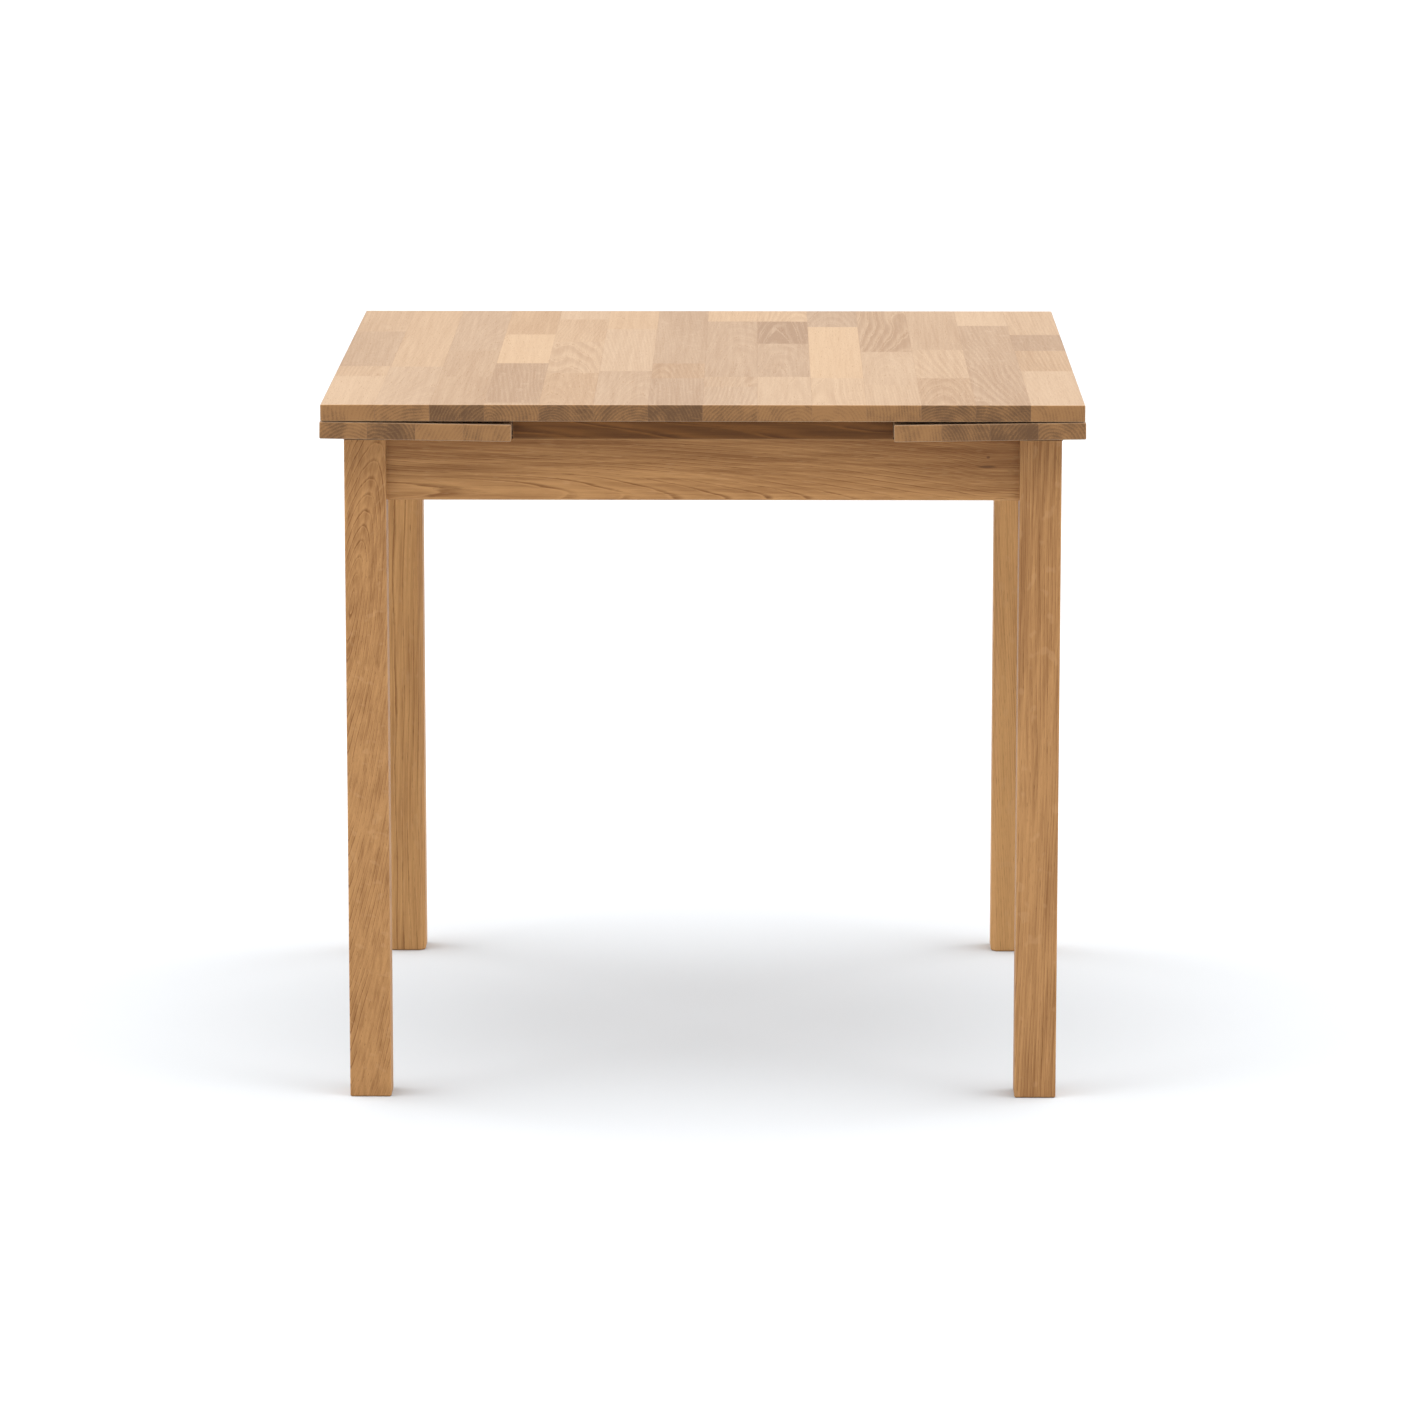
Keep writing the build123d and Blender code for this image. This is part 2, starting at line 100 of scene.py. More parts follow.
class Wire:
    """A number socket in a shader tree, with Python's operators adding Math nodes."""

    def __init__(self, shader: "Shader", socket: bpy.types.NodeSocket) -> None:
        """Keeps the socket and the shader that it belongs to."""
        self.shader = shader
        self.socket = socket

    def maths(self, operation: str, *others: Union["Wire", Number]) -> "Wire":
        """Adds one Math node.

        Args:
            operation: The Math node's operation.
            others: The values after this one.

        Returns:
            The node's result.
        """
        values = {0: self}
        values.update({place + 1: other for place, other in enumerate(others)})
        return self.shader.node("ShaderNodeMath", {"operation": operation}, values)

    def __add__(self, other: Union["Wire", Number]) -> "Wire":
        """Sum."""
        return self.maths("ADD", other)

    __radd__ = __add__

    def __sub__(self, other: Union["Wire", Number]) -> "Wire":
        """Difference."""
        return self.maths("SUBTRACT", other)

    def __rsub__(self, other: Number) -> "Wire":
        """Difference from a number."""
        return self.maths("MULTIPLY_ADD", -1.0, other)

    def __mul__(self, other: Union["Wire", Number]) -> "Wire":
        """Product."""
        return self.maths("MULTIPLY", other)

    __rmul__ = __mul__

    def __truediv__(self, other: Union["Wire", Number]) -> "Wire":
        """Quotient."""
        return self.maths("DIVIDE", other)

    def __pow__(self, power: Number) -> "Wire":
        """Power."""
        return self.maths("POWER", power)

    def __abs__(self) -> "Wire":
        """Size without sign."""
        return self.maths("ABSOLUTE")

    def fraction(self) -> "Wire":
        """What is left above the whole number."""
        return self.maths("FRACT")

    def root(self) -> "Wire":
        """Square root."""
        return self.maths("SQRT")

    def angle_to(self, other: "Wire") -> "Wire":
        """Angle of the point (other, self) about the origin."""
        return self.maths("ARCTAN2", other)

    def ramp(self, low: float, high: float) -> "Wire":
        """Smooth step from 0 at low to 1 at high.

        Args:
            low: Where the step starts.
            high: Where it ends.

        Returns:
            A value from 0 to 1.
        """
        settings = {"interpolation_type": "SMOOTHSTEP"}
        values = {"Value": self, "From Min": low, "From Max": high, "To Min": 0.0, "To Max": 1.0}
        return self.shader.node("ShaderNodeMapRange", settings, values)


class Shader:
    """A material's node tree, and the one method that adds nodes to it."""

    def __init__(self, name: str) -> None:
        """Makes an empty material of that name with a Principled shader on its output."""
        self.material = bpy.data.materials.new(name)
        self.material.use_nodes = True
        self.tree = self.material.node_tree
        self.tree.nodes.clear()
        output = self.tree.nodes.new("ShaderNodeOutputMaterial")
        self.surface = self.tree.nodes.new("ShaderNodeBsdfPrincipled")
        self.tree.links.new(self.surface.outputs[0], output.inputs["Surface"])

    def node(self, kind: str, settings: dict[str, Any], values: dict[Any, Any], output: Any = 0) -> Wire:
        """Adds a node, sets it up and feeds it.

        Args:
            kind: The node's type.
            settings: Its own properties, set first.
            values: Its sockets by name or place: a Wire, a number or a tuple.
            output: The output that is wanted, by name or place.

        Returns:
            That output.
        """
        made = self.tree.nodes.new(kind)
        for key, setting in settings.items():
            setattr(made, key, setting)
        for key, value in values.items():
            self.feed(made, key, value)
        return Wire(self, made.outputs[output])

    def feed(self, made: bpy.types.Node, key: Any, value: Any) -> None:
        """Links a Wire to a node's socket, or sets the socket to a value."""
        if isinstance(value, Wire):
            self.tree.links.new(value.socket, made.inputs[key])
        else:
            made.inputs[key].default_value = value

    def split(self, vector: Wire) -> tuple[Wire, Wire, Wire]:
        """The three components of a vector."""
        made = self.tree.nodes.new("ShaderNodeSeparateXYZ")
        self.feed(made, 0, vector)
        x, y, z = (Wire(self, socket) for socket in made.outputs)
        return x, y, z

    def join(self, x: Union[Wire, Number], y: Union[Wire, Number], z: Union[Wire, Number]) -> Wire:
        """A vector of three components."""
        return self.node("ShaderNodeCombineXYZ", {}, {0: x, 1: y, 2: z})

    def noise(self, place: Wire, detail: float = 2.0, roughness: float = 0.5) -> Wire:
        """Cloudy noise from 0 to 1 at a place already scaled to the cloud's size."""
        values = {"Vector": place, "Scale": 1.0, "Detail": detail, "Roughness": roughness}
        return self.node("ShaderNodeTexNoise", {"noise_dimensions": "3D"}, values, "Fac")

    def mix(self, share: Union[Wire, Number], first: Any, second: Any, blend: str = "MIX") -> Wire:
        """Mixes two colours.

        Args:
            share: How much of the second, from 0 to 1.
            first: A Wire or a colour.
            second: A Wire or a colour.
            blend: The Mix node's blend type.

        Returns:
            The mixed colour.
        """
        settings = {"data_type": "RGBA", "blend_type": blend, "clamp_factor": True}
        first, second = (c if isinstance(c, Wire) else (*c, 1.0) for c in (first, second))
        return self.node("ShaderNodeMix", settings, {0: share, 6: first, 7: second}, 2)

    def bump(self, height: Wire, distance: float, strength: float = 1.0) -> Wire:
        """Normal of a surface with that much relief, in metres."""
        return self.node("ShaderNodeBump", {}, {"Height": height, "Distance": distance, "Strength": strength})


# ---------------------------------------------------------------- the log


@dataclass(frozen=True)
class Cells:
    """Noise that is stretched along the fibres: its cells per metre across and along them."""

    across: float
    along: float
    detail: float = 2.0
    roughness: float = 0.5

    def noise(self, shader: Shader, across: Wire, along: Wire, outward: Wire) -> Wire:
        """The noise at a place in the log.

        Args:
            shader: The shader that wants it.
            across: Place across the fibres.
            along: Place along them.
            outward: Place across them the other way.

        Returns:
            A value from 0 to 1.
        """
        place = shader.join(across * self.across, along * self.along, outward * self.across)
        return shader.noise(place, self.detail, self.roughness)


CLOUD_CELLS = Cells(9, 1.3)
WOBBLE_CELLS = Cells(70, 5)
STREAK_CELLS = Cells(210, 5, 3.0, 0.65)
SPECKLE_CELLS = Cells(900, 60)
PORE_CELLS = Cells(1900, 75, 1.0)


@dataclass(frozen=True)
class Arrises:
    """The twelve arrises of a box-shaped piece, where handling wears the oil away."""

    middle: tuple[float, float, float]
    half: tuple[float, float, float]
    tilt: float = 0.0

    def distance(self, shader: Shader) -> Wire:
        """How far the nearest arris is.

        Args:
            shader: The shader that wants it.

        Returns:
            The distance in millimetres.
        """
        here = shader.split(shader.node("ShaderNodeTexCoord", {}, {}, "Object"))
        x, y, z = (place - centre for place, centre in zip(here, self.middle))
        flat_x = x * math.cos(self.tilt) + z * math.sin(self.tilt)
        flat_z = z * math.cos(self.tilt) - x * math.sin(self.tilt)
        inward = [half - abs(place) for place, half in zip((flat_x, y, flat_z), self.half)]
        nearer = inward[0].maths("MINIMUM", inward[1])
        further = inward[0].maths("MAXIMUM", inward[1])
        return nearer.maths("MAXIMUM", further.maths("MINIMUM", inward[2])) / MM


@dataclass(frozen=True)
class Knot:
    """A small knot or check in a face: its place along and up the piece, and its half sizes."""

    along: float
    up: float
    half_length: float
    half_height: float
    push: float = 0.0

    def wires(self, along: Wire, up: Wire) -> tuple[Wire, Wire]:
        """How far the knot pushes the rings, and how dark it is.

        Args:
            along: Place along the piece.
            up: Place up the piece.

        Returns:
            The push in metres and the darkness from 0 to 1.
        """
        beside, above = along - self.along, up - self.up
        wide, high = beside / self.half_length, above / self.half_height
        away = (wide * wide + high * high).root()
        reach = (beside**2 + above**2).root() / self.half_length
        return (1 - reach.ramp(0.0, 4.0)) * self.push, 1 - away.ramp(0.45, 1.15)


@dataclass(frozen=True)
class Cut:
    """Look of one piece: depth of colour, warmth, lean of the fibres, and its knots.

    The lean is how far the fibres run across for each metre along. The fade is how much the colour deepens
    for each metre along, painted light and shade that leaves a leg lighter at its foot and darker at its top;
    the rise is how much it deepens for each metre up, painted shade under the top's overhang.
    """

    tone: float = 0.5
    warmth: float = 0.5
    lean: float = 0.0
    fade: float = 0.0
    painted_shade_rise: float = 0.0
    knots: tuple[Knot, ...] = ()


@dataclass(frozen=True)
class WoodPlace:
    """Where a piece was cut from its log, for pieces whose fibres follow a row axis."""

    grain: Grain
    middle: tuple[float, float, float]
    pith: tuple[float, float]
    shift: float
    cut: Cut

    def figure_wire(self, shader: Shader) -> float:
        """How strongly the rings show: plainly, in a single piece."""
        return 1.0

    def tone_wire(self, shader: Shader) -> Wire:
        """Depth of colour, which changes along and up the piece as painted light and shade."""
        here = shader.split(shader.node("ShaderNodeTexCoord", {}, {}, "Object"))
        along, up = self.grain.value, self.grain.others[1]
        # Painted light and shade: the colour deepens along the piece and upwards.
        painted_light_along = (here[along] - self.middle[along]) * self.cut.fade
        return painted_light_along + (here[up] - self.middle[up]) * self.cut.painted_shade_rise + self.cut.tone

    def wires(self, shader: Shader) -> tuple[Wire, Wire, Wire, Wire]:
        """Coordinates in the log.

        Args:
            shader: The shader that wants them.

        Returns:
            Across, along and outward from the pith in metres, and how much the face is end grain.
        """
        here = shader.split(shader.node("ShaderNodeTexCoord", {}, {}, "Object"))
        facing = shader.split(shader.node("ShaderNodeTexCoord", {}, {}, "Normal"))
        along = self.grain.value
        across, outward = self.grain.others
        leaning = (here[along] - self.middle[along]) * self.cut.lean
        return (
            here[across] - (self.middle[across] - self.pith[0]) + leaning,
            here[along] + self.shift,
            here[outward] - (self.middle[outward] - self.pith[1]) + leaning,
            abs(facing[along]),
        )

    def knot_wires(self, shader: Shader) -> Optional[tuple[Wire, Wire]]:
        """How the knots bend and darken the grain.

        Args:
            shader: The shader that wants them.

        Returns:
            The rings' push in metres and the darkness, or None where there are no knots.
        """
        if not self.cut.knots:
            return None
        here = shader.split(shader.node("ShaderNodeTexCoord", {}, {}, "Object"))
        along, up = here[self.grain.value], here[self.grain.others[1]]
        spots = [knot.wires(along, up) for knot in self.cut.knots]
        push, dark = spots[0]
        for more_push, more_dark in spots[1:]:
            push = push + more_push
            dark = dark + more_dark
        return push, dark


@dataclass(frozen=True)
class StaveCoordinates:
    """Log coordinates and shade that a staved board's mesh carries for each stave."""

    width: float
    place: str = "log_place"
    shade: str = "stave_shade"
    figure: str = "stave_figure"

    def wires(self, shader: Shader) -> tuple[Wire, Wire, Wire, Wire]:
        """Coordinates in each stave's own log.

        Args:
            shader: The shader that wants them.

        Returns:
            Across, along and outward from the pith in metres, and how much the face is end grain.
        """
        settings = {"attribute_type": "GEOMETRY", "attribute_name": self.place}
        across, along, outward = shader.split(shader.node("ShaderNodeAttribute", settings, {}, "Vector"))
        facing = shader.split(shader.node("ShaderNodeTexCoord", {}, {}, "Normal"))
        return across, along, outward, abs(facing[Grain.ALONG_Y.value])

    def figure_wire(self, shader: Shader) -> Wire:
        """How strongly each stave's rings show."""
        settings = {"attribute_type": "GEOMETRY", "attribute_name": self.figure}
        return shader.node("ShaderNodeAttribute", settings, {}, "Fac")

    def shades(self, shader: Shader) -> tuple[Wire, Wire, Wire]:
        """Tone, warmth and distance to the nearest glue line in millimetres."""
        settings = {"attribute_type": "GEOMETRY", "attribute_name": self.shade}
        tone, warmth, across = shader.split(shader.node("ShaderNodeAttribute", settings, {}, "Vector"))
        return tone, warmth, across.maths("MINIMUM", self.width / MM - across)


# ---------------------------------------------------------------- finishes


@dataclass(frozen=True)
class Growth:
    """What has grown at a point of the log, each from 0 to 1."""

    end: Wire
    cloud: Wire
    wobble: Wire
    streak: Wire
    speckle: Wire
    late: Wire
    early: Wire
    line: Wire
    figure: Union[Wire, float]
    pores: Wire
    rays: Wire
    knot: Optional[Wire]


@dataclass(frozen=True)
class OakFinish:
    """Satin oiled oak: growth rings, open pores, rays and darker end grain.

    Seams and wear are in millimetres from the glue line and from the arris.
    """

    slot: str
    light: Colour = (0.51, 0.262, 0.098)
    dark: Colour = (0.225, 0.09, 0.026)
    end_light: Colour = (0.44, 0.225, 0.092)
    end_dark: Colour = (0.12, 0.054, 0.018)
    pore: Colour = (0.11, 0.044, 0.016)
    ray: Colour = (0.58, 0.33, 0.15)
    cool_tint: Colour = (0.86, 0.98, 1.25)
    worn_gloss: Colour = (0.14, 0.08, 0.035)
    ring_width: float = 3.4 * MM
    ring_drift: float = 34 * MM
    ring_waver: float = 3 * MM
    ring_depth: float = 0.42
    taper: float = 0.035
    pore_depth: float = 0.45
    pore_line: float = 0.7
    ray_share: float = 0.22
    streak_depth: float = 1.5
    cloud_depth: float = 0.9
    tone_depth: float = 0.9
    end_ring_depth: float = 0.27
    end_tone_depth: float = 1.9
    end_ray_share: float = 0.35
    seam_edges: tuple[float, float] = (0.12, 0.32)
    seam_depth: float = 0.35
    knot_depth: float = 0.75
    wear_edges: tuple[float, float] = (0.2, 2.0)
    wear_raggedness: float = 3.0
    wear_depth: float = 0.35
    relief: float = 0.12 * MM
    roughness: float = 0.42
    sheen: float = 0.22

    def paint(
        self, name: str, coordinates: Union[WoodPlace, StaveCoordinates], arrises: Arrises
    ) -> bpy.types.Material:
        """Makes the material for one piece.

        Args:
            name: The material's name.
            coordinates: Where the piece, or each of its staves, was cut from the log.
            arrises: Its worn edges.

        Returns:
            The material.
        """
        shader = Shader(name)
        grown = self._read_log(shader, coordinates)
        tone, warmth, glue = self._shades(shader, coordinates)
        wood = shader.mix(
            grown.end, self._colour_face(shader, grown, tone, warmth), self._colour_ends(shader, grown, tone)
        )
        wood = shader.mix(grown.pores * self.pore_depth, wood, self.pore)
        if glue is not None:
            seam = 1 - glue.ramp(*self.seam_edges)
            wood = shader.mix(seam * self.seam_depth, wood, self.pore)
        if grown.knot is not None:
            wood = shader.mix(grown.knot * self.knot_depth, wood, self.pore)
        ragged = (grown.wobble - 0.5) * self.wear_raggedness
        worn = 1 - (arrises.distance(shader) + ragged).ramp(*self.wear_edges)
        wood = shader.mix(worn * self.wear_depth, wood, self.worn_gloss, "SCREEN")
        shader.feed(shader.surface, "Base Color", wood)

        streaks = grown.streak - 0.5
        polish = streaks * 0.12 + grown.pores * 0.2 + grown.end * 0.16 - worn * 0.08 + self.roughness
        shader.feed(shader.surface, "Roughness", polish)
        relief = 0.6 - grown.pores * 0.5 + streaks * 0.25 - grown.early * 0.12
        shader.feed(shader.surface, "Normal", shader.bump(relief, self.relief, 0.7))
        shader.surface.inputs["IOR"].default_value = 1.5
        shader.surface.inputs["Specular IOR Level"].default_value = self.sheen
        return shader.material

    def _read_log(self, shader: Shader, coordinates: Union[WoodPlace, StaveCoordinates]) -> Growth:
        """Reads rings, pores, rays and clouds at each point of the piece.

        Args:
            shader: The shader that wants them.
            coordinates: Where the piece, or each of its staves, was cut from the log.

        Returns:
            What has grown there.
        """
        *place, facing = coordinates.wires(shader)
        across, along, outward = place
        cloud = CLOUD_CELLS.noise(shader, *place)
        wobble = WOBBLE_CELLS.noise(shader, *place)
        streak = STREAK_CELLS.noise(shader, *place)
        radius = (across * across + outward * outward).root()
        strays = (cloud - 0.5) * self.ring_drift + (wobble - 0.5) * self.ring_waver
        grown = radius + along * self.taper + strays
        knots = None if isinstance(coordinates, StaveCoordinates) else coordinates.knot_wires(shader)
        if knots is not None:
            grown = grown + knots[0]
        ring = (grown / self.ring_width).fraction()
        figure = coordinates.figure_wire(shader)
        early = 1 - ring.ramp(0.05, 0.38)
        line = ring.ramp(0.0, 0.06) * (1 - ring.ramp(0.08, 0.3)) * wobble.ramp(0.3, 0.6) * figure
        plates = shader.join(radius * 90, along * 55, outward.angle_to(across) * radius * 620)
        return Growth(
            end=facing.ramp(0.55, 0.8),
            cloud=cloud,
            wobble=wobble,
            streak=streak,
            speckle=SPECKLE_CELLS.noise(shader, *place),
            late=ring.ramp(0.12, 0.72) * (1 - ring.ramp(0.9, 1.0)),
            early=early,
            line=line,
            figure=figure,
            pores=PORE_CELLS.noise(shader, *place).ramp(0.56, 0.68) * (early * 0.75 + 0.25),
            rays=shader.noise(plates, 1.0).ramp(0.62, 0.72),
            knot=None if knots is None else knots[1],
        )

    def _colour_face(
        self, shader: Shader, grown: Growth, tone: Union[Wire, Number], warmth: Union[Wire, Number]
    ) -> Wire:
        """Colour of the long grain.

        Args:
            shader: The shader that wants it.
            grown: What has grown there.
            tone: Depth of colour, from 0 to 1.
            warmth: Warmth, from 0 to 1.

        Returns:
            The colour.
        """
        clouds = (grown.streak - 0.5) * self.streak_depth + (grown.cloud - 0.5) * self.cloud_depth
        rings = grown.late * grown.figure * self.ring_depth + grown.line * self.pore_line
        depth = rings + clouds + (tone - 0.5) * self.tone_depth + 0.3
        face = shader.mix(depth.ramp(-0.15, 1.15), self.light, self.dark)
        face = shader.mix(grown.rays * self.ray_share, face, self.ray)
        cool = shader.mix(0.55, face, shader.mix(1.0, face, self.cool_tint, "MULTIPLY"))
        return shader.mix(warmth, cool, face)

    def _colour_ends(self, shader: Shader, grown: Growth, tone: Union[Wire, Number]) -> Wire:
        """Colour of the end grain.

        Args:
            shader: The shader that wants it.
            grown: What has grown there.
            tone: Depth of colour, from 0 to 1.

        Returns:
            The colour.
        """
        clouds = grown.wobble - 0.5 + (grown.speckle - 0.5) * 0.8
        depth = grown.late * self.end_ring_depth + clouds + (tone - 0.5) * self.end_tone_depth + 0.36
        ends = shader.mix(depth.ramp(-0.05, 1.05), self.end_light, self.end_dark)
        return shader.mix(grown.rays * self.end_ray_share, ends, self.end_light)

    @staticmethod
    def _shades(shader: Shader, coordinates: Any) -> tuple[Any, Any, Optional[Wire]]:
        """Tone, warmth and glue line, as numbers for a single piece or wires for a staved one."""
        if isinstance(coordinates, StaveCoordinates):
            return coordinates.shades(shader)
        return coordinates.tone_wire(shader), coordinates.cut.warmth, None


@dataclass(frozen=True)
class SteelFinish:
    """Bright zinc plating with fine spangle and handling marks."""

    slot: str = "zinc_steel"
    base: Colour = (0.62, 0.62, 0.60)
    dull: Colour = (0.40, 0.40, 0.39)

    def paint(self, name: str) -> bpy.types.Material:
        """Makes the material.

        Args:
            name: The material's name.

        Returns:
            The material.
        """
        shader = Shader(name)
        x, y, z = shader.split(shader.node("ShaderNodeTexCoord", {}, {}, "Object"))
        cloud = shader.noise(shader.join(x * 600, y * 600, z * 600), 3.0)
        scratch = shader.noise(shader.join(x * 5000, y * 5000, z * 900), 1.0)
        shader.feed(shader.surface, "Base Color", shader.mix(cloud.ramp(0.35, 0.75), self.base, self.dull))
        shader.feed(shader.surface, "Roughness", (cloud - 0.5) * 0.3 + 0.33)
        shader.feed(shader.surface, "Normal", shader.bump(scratch, 0.01 * MM, 0.5))
        shader.surface.inputs["Metallic"].default_value = 1.0
        return shader.material


# Oak of the top and the leaves: its long grain is paler and greyer than the frame's oak, as painted light and
# painted sheen reflection on their lit upper faces.
LIGHT_PAINTED_TOP_OAK = OakFinish(
    "oak_top",
    light=(0.505, 0.345, 0.21),
    dark=(0.315, 0.185, 0.10),
    end_light=(0.325, 0.158, 0.053),
    end_dark=(0.12, 0.054, 0.017),
    pore=(0.24, 0.13, 0.07),
    ray=(0.54, 0.38, 0.245),
    ring_depth=0.34,
    pore_line=0.4,
    streak_depth=0.75,
    cloud_depth=0.5,
    sheen=0.4,
)
FRAME_OAK = OakFinish("oak_frame", ring_depth=0.24, roughness=0.55)
# Paler copy of the frame's oak: painted light for the rear legs, which the table shades.
LIGHT_PAINTED_LEG_OAK = OakFinish(
    "oak_frame", light=(0.60, 0.32, 0.12), dark=(0.30, 0.13, 0.04), ring_depth=0.24, roughness=0.55
)
# Oak of the centre board, far darker than the frame's, with rays no lighter than its wood: painted shade for
# the shadow under the top's overhang.
SHADE_PAINTED_BOARD_OAK = OakFinish(
    "oak_frame",
    light=(0.24, 0.096, 0.022),
    dark=(0.105, 0.038, 0.008),
    ray=(0.24, 0.096, 0.022),
    roughness=0.55,
)
INNER_OAK = OakFinish("inner_wood", roughness=0.6, pore_depth=0.35)
ZINC = SteelFinish()


# ---------------------------------------------------------------- staved boards


@dataclass(frozen=True)
class Stave:
    """One length of wood in a staved board, in the board's own plan, in metres."""

    left: float
    right: float
    near: float
    far: float
    pith: tuple[float, float]
    shift: float
    tone: float
    warmth: float
    figure: float


@dataclass(frozen=True)
class Accent:
    """A listed stave: its strip, its ends in millimetres from the middle, and its look."""

    strip: int
    near: float
    far: float
    tone: float
    warmth: float
    figure: float = 0.5


@dataclass
class StavedBoard:
    """A board glued up from short staves that run front to back, its arrises eased."""

    node: str
    body: str
    width: float
    depth: float
    thickness: float
    placing: Matrix
    seed: int
    strips: int
    eased: float = 1.5 * MM
    shortest: float = 0.16
    longest: float = 0.44
    cathedral_figure: float = 1.5
    cathedral_reach: float = 34 * MM
    tilt: float = 0.0
    accents: tuple[Accent, ...] = ()
    staves: list[list[Stave]] = field(default_factory=list)

    def lay_staves(self) -> None:
        """Cuts the board's plan into strips, and each strip into staves with their own log."""
        dice = random.Random(self.seed)
        for strip in range(self.strips):
            row: list[Stave] = []
            near = -self.depth / 2
            for accent in sorted((a for a in self.accents if a.strip == strip), key=lambda a: a.near):
                row += self._fill(dice, strip, near, accent.near * MM)
                row.append(self._cut_stave(dice, strip, accent.near * MM, accent.far * MM, accent))
                near = accent.far * MM
            row += self._fill(dice, strip, near, self.depth / 2)
            self.staves.append(row)

    def _fill(self, dice: random.Random, strip: int, near: float, far: float) -> list[Stave]:
        """Fills part of a strip with staves of random length.

        Args:
            dice: The board's random numbers.
            strip: The strip's number from the left.
            near: Where the gap starts.
            far: Where it ends.

        Returns:
            The staves, front to back.
        """
        row = []
        while far - near > ROUNDING:
            end = near + dice.uniform(self.shortest, self.longest) * (1.0 if row else dice.uniform(0.5, 1.0))
            if far - end < self.shortest * 0.5:
                end = far
            row.append(self._cut_stave(dice, strip, near, end))
            near = end
        return row

    def _cut_stave(
        self, dice: random.Random, strip: int, near: float, far: float, accent: Optional[Accent] = None
    ) -> Stave:
        """One stave, from a random place in its log.

        Args:
            dice: The board's random numbers.
            strip: The strip that it lies in.
            near: Its front end.
            far: Its rear end.
            accent: Its look, where one is listed.

        Returns:
            The stave.
        """
        width = self.width / self.strips
        left = -self.width / 2 + strip * width
        bearing = dice.uniform(0, math.pi)
        reach = dice.uniform(18 * MM, 90 * MM)
        tone = min(0.8, max(0.25, dice.gauss(0.47, 0.1)))
        warmth = min(1.0, max(0.3, dice.gauss(0.7, 0.2)))
        figure = dice.uniform(0.3, 1.0)
        if accent is not None:
            tone, warmth, figure = accent.tone, accent.warmth, accent.figure
        if figure > self.cathedral_figure:
            bearing, reach = math.pi / 2, self.cathedral_reach
        pith = (reach * math.cos(bearing), reach * math.sin(bearing))
        return Stave(left, left + width, near, far, pith, dice.uniform(-4.0, 4.0), tone, warmth, figure)

    def find(self, x: float, y: float) -> Stave:
        """The stave that holds a point of the plan."""
        strip = int((x + self.width / 2) / self.width * self.strips)
        row = self.staves[min(max(strip, 0), self.strips - 1)]
        for stave in row:
            if y < stave.far:
                return stave
        return row[-1]

    def build(self) -> bpy.types.Object:
        """Makes the board's closed mesh.

        Returns:
            The board, placed in the table.
        """
        self.lay_staves()
        columns = [-self.width / 2 + n * self.width / self.strips for n in range(self.strips + 1)]
        ends = sorted({round(stave.far, 6) for row in self.staves for stave in row} | {-self.depth / 2})
        built = bmesh.new()
        layers = [
            [[built.verts.new((x, y, z)) for y in ends] for x in columns]
            for z in (-self.thickness / 2, self.thickness / 2)
        ]
        lower, upper = layers
        for i in range(len(columns) - 1):
            for j in range(len(ends) - 1):
                built.faces.new((upper[i][j], upper[i + 1][j], upper[i + 1][j + 1], upper[i][j + 1]))
                built.faces.new((lower[i][j], lower[i][j + 1], lower[i + 1][j + 1], lower[i + 1][j]))
        for i in range(len(columns) - 1):
            built.faces.new((lower[i][0], lower[i + 1][0], upper[i + 1][0], upper[i][0]))
            built.faces.new((upper[i][-1], upper[i + 1][-1], lower[i + 1][-1], lower[i][-1]))
        for j in range(len(ends) - 1):
            built.faces.new((upper[0][j], upper[0][j + 1], lower[0][j + 1], lower[0][j]))
            built.faces.new((lower[-1][j], lower[-1][j + 1], upper[-1][j + 1], upper[-1][j]))
        built.normal_update()
        arrises = [edge for edge in built.edges if edge.calc_face_angle(0.0) > math.radians(45)]
        bmesh.ops.bevel(built, geom=arrises, offset=self.eased, segments=3, profile=0.5, affect="EDGES")
        built.normal_update()
        self._mark_staves(built)
        mesh = bpy.data.meshes.new(self.node + "_staves")
        built.to_mesh(mesh)
        built.free()
        mesh.transform(self.placing)
        board = bpy.data.objects.new(self.node + "_staves", mesh)
        bpy.context.scene.collection.objects.link(board)
        return board

    def _mark_staves(self, built: bmesh.types.BMesh) -> None:
        """Writes each corner's log place and shade into the mesh."""
        place = built.loops.layers.float_vector.new(StaveCoordinates.place)
        shade = built.loops.layers.float_vector.new(StaveCoordinates.shade)
        figure = built.loops.layers.float.new(StaveCoordinates.figure)
        for face in built.faces:
            centre = face.calc_center_median()
            stave = self.find(centre.x, centre.y)
            middle = (stave.left + stave.right) / 2
            for loop in face.loops:
                x, y, z = loop.vert.co
                loop[place] = Vector((x - middle + stave.pith[0], y + stave.shift, z + stave.pith[1]))
                loop[shade] = Vector((stave.tone, stave.warmth, (x - stave.left) / MM))
                loop[figure] = stave.figure
            face.smooth = max(abs(c) for c in face.normal) < 0.999

    def dress(self, board: bpy.types.Object, finish: OakFinish) -> None:
        """Gives the board its finish and hangs it on its body.

        Args:
            board: The board's object.
            finish: Its oak.
        """
        half = (self.width / 2, self.depth / 2, self.thickness / 2)
        arrises = Arrises(tuple(self.placing.translation), half, self.tilt)
        staves = StaveCoordinates(self.width / self.strips)
        board.data.materials.append(finish.paint(self.node + "_oak", staves, arrises))
        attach(board, self.body)
        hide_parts(self.node)
        log.info("%s: %d staves", self.node, sum(len(row) for row in self.staves))


# ---------------------------------------------------------------- sub-assemblies


